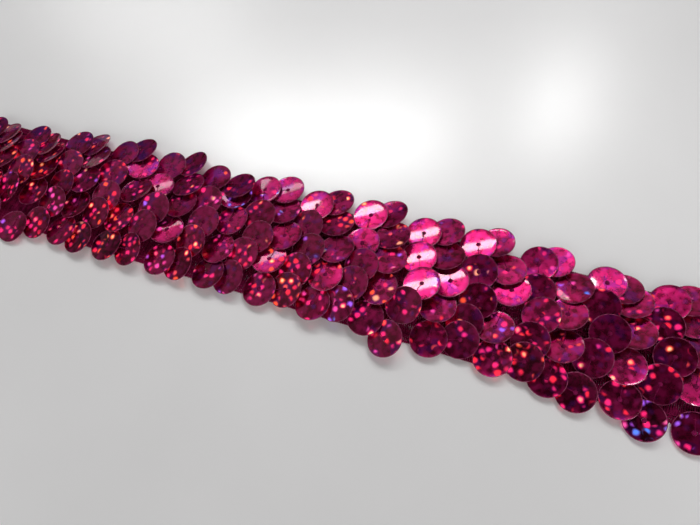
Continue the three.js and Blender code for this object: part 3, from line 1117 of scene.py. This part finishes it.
def area_lamp(name, place, width, height, radiance, shape="RECTANGLE"):
    """A one-sided lamp that faces the trim; radiance is the level of light that its face shows."""
    filled = math.pi / 4 if shape == "DISK" else 1
    data = bpy.data.lights.new(name, "AREA")
    data.shape = shape
    data.size = width
    data.size_y = height
    data.energy = radiance * width * height * filled * math.pi
    lamp = bpy.data.objects.new(name, data)
    bpy.context.scene.collection.objects.link(lamp)
    lamp.location = place
    lamp.rotation_euler = (-place).to_track_quat("-Z", "Y").to_euler()
    return lamp


def strip_lamp(name, first, second, radiance):
    """A long narrow lamp between two places, its face turned to the trim."""
    middle = (first + second) / 2
    lamp = area_lamp(name, middle, (second - first).length, STRIP_WIDTH, radiance)
    along = (second - first).normalized()
    across = along.cross(-middle).normalized()
    lamp.rotation_euler = Matrix((along, across, along.cross(across))).transposed().to_euler()


for strip in STRIP_LAMPS:
    strip_lamp(*strip)
for soft in SOFT_LAMPS:
    area_lamp(*soft)
area_lamp(*FILL_LAMP).visible_glossy = False
area_lamp(*ROUND_LAMP, shape="DISK")


# World: pale walls, a ceiling that is dark behind the trim, and a plain backdrop that only the camera sees
WALL_LIGHT = rgb(0.85, 0.85, 0.84)
WALL_DARK = rgb(0.20, 0.20, 0.205)
CEILING_LOW = rgb(0.05, 0.05, 0.052)
CEILING_MIDDLE = rgb(0.24, 0.24, 0.242)
CEILING_TOP = rgb(0.012, 0.012, 0.013)
BACKDROP = rgb(0.72, 0.72, 0.73)
BACK_LEAN = 0.5
BACK_RISE = 0.9
CEILING_EDGE = (0.0, 0.45)
WALL_SPREAD = (0.2, 0.8)
CEILING_LOW_SPREAD = (0.3, 0.65)
CEILING_TOP_SPREAD = (0.65, 0.97)


def studio_world():
    world = bpy.data.worlds.new("studio")
    bpy.context.scene.world = world
    world.use_nodes = True
    tree = world.node_tree
    tree.nodes.clear()
    output = node(tree, "OutputWorld")
    background = node(tree, "Background")
    plug(tree, output.inputs["Surface"], background.outputs[0])
    parts = node(tree, "SeparateXYZ", None, Vector=node(tree, "TexCoord").outputs["Generated"]).outputs
    back = maths(tree, "SUBTRACT", parts["Y"], maths(tree, "MULTIPLY", parts["X"], BACK_LEAN))
    away = maths(tree, "ADD", back, maths(tree, "MULTIPLY", parts["Z"], BACK_RISE))
    walls = blend_colour(tree, remap(tree, back, *WALL_SPREAD, smooth=True), WALL_LIGHT, WALL_DARK)
    top = remap(tree, parts["Z"], *CEILING_TOP_SPREAD)
    ceiling = blend_colour(tree, top, CEILING_MIDDLE, CEILING_TOP)
    ceiling = blend_colour(tree, remap(tree, parts["Z"], *CEILING_LOW_SPREAD), CEILING_LOW, ceiling)
    colour = blend_colour(tree, remap(tree, away, *CEILING_EDGE, smooth=True), walls, ceiling)
    seen = node(tree, "LightPath").outputs["Is Camera Ray"]
    feed_all(tree, background, {"Color": blend_colour(tree, seen, colour, BACKDROP), "Strength": 1.0})


studio_world()
bpy.context.scene.view_settings.view_transform = "Standard"


# Camera: where the photograph was taken from

CAMERA_PLACE = Vector((31.4, -37.0, 91.0)) * MM
CAMERA_FORWARD = Vector((-0.208, 0.376, -0.903))
CAMERA_RIGHT = Vector((0.942, 0.325, -0.081))
FOCAL_PIXELS = 600
PICTURE_WIDTH_PIXELS = 700
SENSOR_WIDTH_MM = 36
CLIP_START = 1 * MM
CLIP_END = 10000 * MM


def photo_camera():
    data = bpy.data.cameras.new("photo_camera")
    data.sensor_width = SENSOR_WIDTH_MM
    data.lens = FOCAL_PIXELS / PICTURE_WIDTH_PIXELS * SENSOR_WIDTH_MM
    data.clip_start = CLIP_START
    data.clip_end = CLIP_END
    camera = bpy.data.objects.new("photo_camera", data)
    bpy.context.scene.collection.objects.link(camera)
    forward = CAMERA_FORWARD.normalized()
    right = (CAMERA_RIGHT - forward * CAMERA_RIGHT.dot(forward)).normalized()
    up = right.cross(forward)
    matrix = camera.matrix_world.copy()
    for row in range(3):
        matrix[row][0], matrix[row][1], matrix[row][2] = right[row], up[row], -forward[row]
        matrix[row][3] = CAMERA_PLACE[row]
    camera.matrix_world = matrix
    bpy.context.scene.camera = camera


photo_camera()
